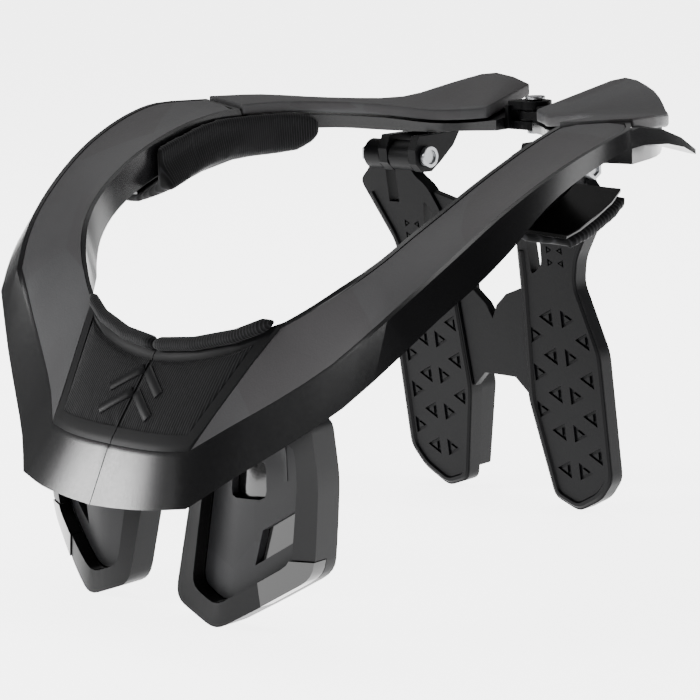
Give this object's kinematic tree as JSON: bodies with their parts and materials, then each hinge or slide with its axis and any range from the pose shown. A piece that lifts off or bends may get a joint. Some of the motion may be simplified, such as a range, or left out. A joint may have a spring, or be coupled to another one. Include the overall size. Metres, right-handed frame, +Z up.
{
  "type": "neck brace",
  "caption": "Rigid neck brace in two hinged halves with a chin latch, padded shoulder saddles, tilting chest paddles and jointed back struts.",
  "frame": {"origin": "on the standing surface, below the middle of the bounding box", "axes": "+Z up, -Y towards the wearer's chin, +X to the wearer's left"},
  "size_m": [0.2468, 0.2526, 0.1668],
  "materials": {
    "satin_shell": "satin black moulded nylon with crisp facets",
    "cover_skin": "fine grained dark grey moulded skin with faint facets",
    "foam": "moulded bead foam",
    "pad_fabric": "fine ribbed black knit",
    "soft_grey": "soft touch dark grey rubbered plastic",
    "gloss_black": "polished black",
    "nylon": "matte black glass filled nylon",
    "steel": "turned steel",
    "paddle_grey": "matte dark grey with a faint facet pattern"
  },
  "bodies": {
    "right_half": {"right_chassis": "satin_shell", "right_foam_core": "foam", "right_top_cover": "cover_skin", "right_chin_rim": "soft_grey", "right_chin_pad": "pad_fabric", "right_rear_table": "cover_skin", "right_shoulder_pad": "pad_fabric", "right_shoulder_shell": "gloss_black", "right_strut_lug": "nylon", "right_strut_bolt": "steel", "right_paddle_bracket": "nylon", "right_paddle_pin": "steel", "right_hinge_leaf": "nylon", "hinge_pin": "steel", "latch_tongue": "nylon"},
    "left_half": {"left_chassis": "satin_shell", "left_foam_core": "foam", "left_top_cover": "cover_skin", "left_chin_rim": "soft_grey", "left_chin_pad": "pad_fabric", "left_rear_table": "cover_skin", "left_shoulder_pad": "pad_fabric", "left_shoulder_shell": "gloss_black", "left_strut_lug": "nylon", "left_strut_bolt": "steel", "left_paddle_bracket": "nylon", "left_paddle_pin": "steel", "left_hinge_leaf": "nylon", "latch_socket": "nylon"},
    "right_leg": {"right_strut_leg": "nylon", "right_strut_bush_inner": "gloss_black", "right_strut_bush_outer": "gloss_black", "strut_web": "nylon", "strut_cross_link": "nylon"},
    "left_leg": {"left_strut_leg": "nylon", "left_strut_bush_inner": "gloss_black", "left_strut_bush_outer": "gloss_black"},
    "right_paddle": {"right_paddle_plate": "paddle_grey", "right_paddle_liner": "gloss_black", "right_paddle_rim": "soft_grey", "right_paddle_clip": "gloss_black"},
    "left_paddle": {"left_paddle_plate": "paddle_grey", "left_paddle_liner": "gloss_black", "left_paddle_rim": "soft_grey", "left_paddle_clip": "gloss_black"},
    "latch_button": {"latch_button": "gloss_black"}
  },
  "joints": [
    {"name": "halves_open", "type": "hinge", "parent": "right_half", "child": "left_half", "pos_m": [0, 0.10859, 0.15173], "axis": [0, 0, 1], "range_deg": [0, 40]},
    {"name": "right_leg_tilt", "type": "hinge", "parent": "right_half", "child": "right_leg", "pos_m": [-0.0446, 0.07319, 0.13773], "axis": [1, 0, 0], "range_deg": [-6, 14]},
    {"name": "left_leg_tilt", "type": "hinge", "parent": "left_half", "child": "left_leg", "pos_m": [0.0446, 0.07319, 0.13773], "axis": [1, 0, 0], "range_deg": [-6, 14]},
    {"name": "right_paddle_tilt", "type": "hinge", "parent": "right_half", "child": "right_paddle", "pos_m": [-0.054, -0.08581, 0.07073], "axis": [1, 0, 0], "range_deg": [-8, 12]},
    {"name": "left_paddle_tilt", "type": "hinge", "parent": "left_half", "child": "left_paddle", "pos_m": [0.054, -0.08581, 0.07073], "axis": [1, 0, 0], "range_deg": [-8, 12]},
    {"name": "latch_press", "type": "slide", "parent": "left_half", "child": "latch_button", "axis": [0, -0.7337, 0.6794], "range_m": [0, 0.0012], "stiffness_N_per_m": 400}
  ],
  "couplings": [
    {"joint": "left_leg_tilt", "follows": "right_leg_tilt", "ratio": 1}
  ]
}
